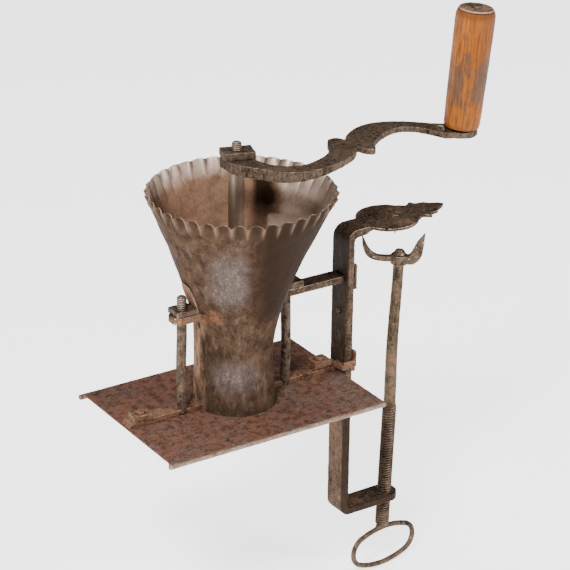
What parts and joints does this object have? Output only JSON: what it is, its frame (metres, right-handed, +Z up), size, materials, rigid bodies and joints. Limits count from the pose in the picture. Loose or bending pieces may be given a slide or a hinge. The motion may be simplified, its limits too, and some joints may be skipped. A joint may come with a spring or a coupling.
{
  "type": "meat grinder",
  "caption": "Antique hand crank meat grinder: fluted sheet-iron funnel and barrel with an upright worm, forged crank with a wooden grip, base plate and table clamp.",
  "frame": {"origin": "on the axis of the shaft, at the top face of the base plate, in the middle of the outlet hole", "axes": "+X along the strap towards the clamp, +Z up along the shaft, +Y to the back, so that the origin's plane lies on the plate"},
  "size_m": [0.3019, 0.1464, 0.4884],
  "materials": {
    "forged_iron": "hand-forged wrought iron, dark with brown rust and worn edges",
    "rusty_sheet": "rusted sheet and bar iron, mottled red-brown",
    "worn_sheet": "thin sheet iron, stained brown, polished by wear on its raised places",
    "cutting_iron": "dull grey iron",
    "turned_wood": "turned hardwood, worn, with dark streaks along the grain"
  },
  "bodies": {
    "frame": {"base_plate": "rusty_sheet", "base_strap": "rusty_sheet", "strap_bolts": "forged_iron", "strap_nuts": "rusty_sheet", "corner_clip": "rusty_sheet", "barrel": "worn_sheet", "hopper": "worn_sheet", "left_ear": "forged_iron", "upper_link": "forged_iron", "link_plate": "forged_iron", "left_tie_rod": "forged_iron", "right_tie_rod": "forged_iron", "tie_nuts": "forged_iron", "clamp_frame": "forged_iron", "jaw_spike": "forged_iron", "frame_rivet": "forged_iron", "sieve_plate": "worn_sheet"},
    "crank": {"drive_shaft": "forged_iron", "worm": "cutting_iron", "turning_knife": "cutting_iron", "crank_arm": "forged_iron", "crank_nut": "forged_iron", "grip_spindle": "forged_iron", "grip_cap": "forged_iron"},
    "grip": {"wooden_grip": "turned_wood"},
    "claw": {"clamp_claw": "forged_iron"},
    "screw": {"clamp_screw": "forged_iron", "screw_ring": "forged_iron"}
  },
  "joints": [
    {"name": "crank_spin", "type": "hinge", "parent": "frame", "child": "crank", "pos_m": [0, 0, 0], "axis": [0, 0, 1], "continuous": true},
    {"name": "grip_spin", "type": "hinge", "parent": "crank", "child": "grip", "pos_m": [0.1788, -0.0358, 0.198], "axis": [0.0872, -0.0175, 0.996], "continuous": true},
    {"name": "clamp_travel", "type": "slide", "parent": "frame", "child": "claw", "axis": [0.0344, 0, 0.9994], "range_m": [-0.0701, 0.0111]},
    {"name": "screw_spin", "type": "hinge", "parent": "claw", "child": "screw", "pos_m": [0.1437, 0, -0.12625], "axis": [0.0344, 0, 0.9994], "range_deg": [-11450, 1790]}
  ],
  "couplings": [
    {"joint": "clamp_travel", "follows": "screw_spin", "m_per_rad": 0.00035014}
  ]
}
